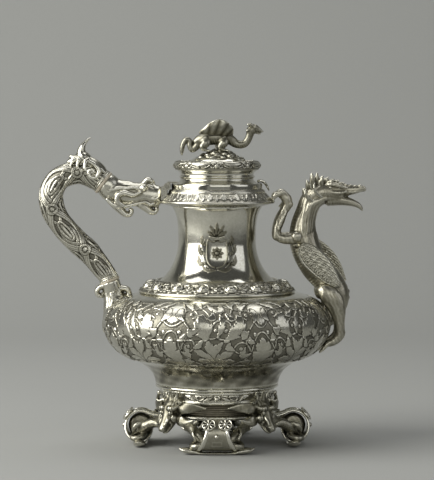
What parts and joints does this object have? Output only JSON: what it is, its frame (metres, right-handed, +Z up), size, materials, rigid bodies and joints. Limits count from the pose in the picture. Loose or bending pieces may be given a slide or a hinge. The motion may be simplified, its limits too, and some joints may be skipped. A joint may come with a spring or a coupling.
{
  "type": "coffee pot",
  "caption": "Bellied silver coffee pot on scroll feet, with a dragon spout, a wrapped scroll handle with insulators and a hinged lid topped by a small dragon.",
  "frame": {"origin": "on the vessel's axis, at table level", "axes": "+X towards the spout, -Y towards the side with the shield, +Z up"},
  "size_m": [0.2625, 0.182, 0.2612],
  "materials": {
    "polished_silver": "polished",
    "cast_silver": "satin",
    "chased_silver": "satin",
    "ivory": "satin"
  },
  "bodies": {
    "pot": {"base_plate": "polished_silver", "reeded_band": "cast_silver", "base_drum": "cast_silver", "drum_studs": "polished_silver", "foot_ring": "polished_silver", "belly_shell": "chased_silver", "belly_cover": "chased_silver", "shoulder_border": "cast_silver", "neck": "polished_silver", "rim_collar": "polished_silver", "shield": "polished_silver", "shield_crest": "polished_silver", "foot_front": "polished_silver", "foot_back": "polished_silver", "foot_spout_side": "polished_silver", "foot_handle_side": "polished_silver", "foot_pads": "polished_silver", "foot_beads": "polished_silver", "foot_bosses": "cast_silver", "serpent_front": "cast_silver", "serpent_back": "cast_silver", "serpent_spout_side": "cast_silver", "serpent_handle_side": "cast_silver", "mask_front_left": "cast_silver", "mask_front_right": "cast_silver", "mask_back_left": "cast_silver", "mask_back_right": "cast_silver", "spout_dragon": "cast_silver", "dragon_mane": "cast_silver", "wing_near": "cast_silver", "wing_far": "cast_silver", "foreleg_near": "cast_silver", "foreleg_far": "cast_silver", "hind_leg_near": "cast_silver", "hind_leg_far": "cast_silver", "strainer": "polished_silver", "handle_grip": "cast_silver", "grip_straps": "cast_silver", "upper_insulator": "ivory", "lower_insulator": "ivory", "upper_ferrule": "polished_silver", "lower_ferrule": "polished_silver", "upper_socket": "cast_silver", "lower_socket": "cast_silver", "handle_rivets": "polished_silver", "thumb_leaf": "cast_silver", "pot_hinge_leaf": "polished_silver", "hinge_pin": "polished_silver"},
    "lid": {"lid_shell": "polished_silver", "lid_bezel": "polished_silver", "lid_border": "cast_silver", "lid_leaf": "cast_silver", "rockwork": "cast_silver", "finial_dragon": "cast_silver", "finial_wings": "cast_silver", "finial_bolt": "polished_silver", "finial_nut": "polished_silver", "lid_hinge_leaf": "polished_silver"}
  },
  "joints": [
    {"name": "lid_hinge", "type": "hinge", "parent": "pot", "child": "lid", "pos_m": [-0.0398, 0, 0.2064], "axis": [0, -1, 0], "range_deg": [0, 75]}
  ]
}
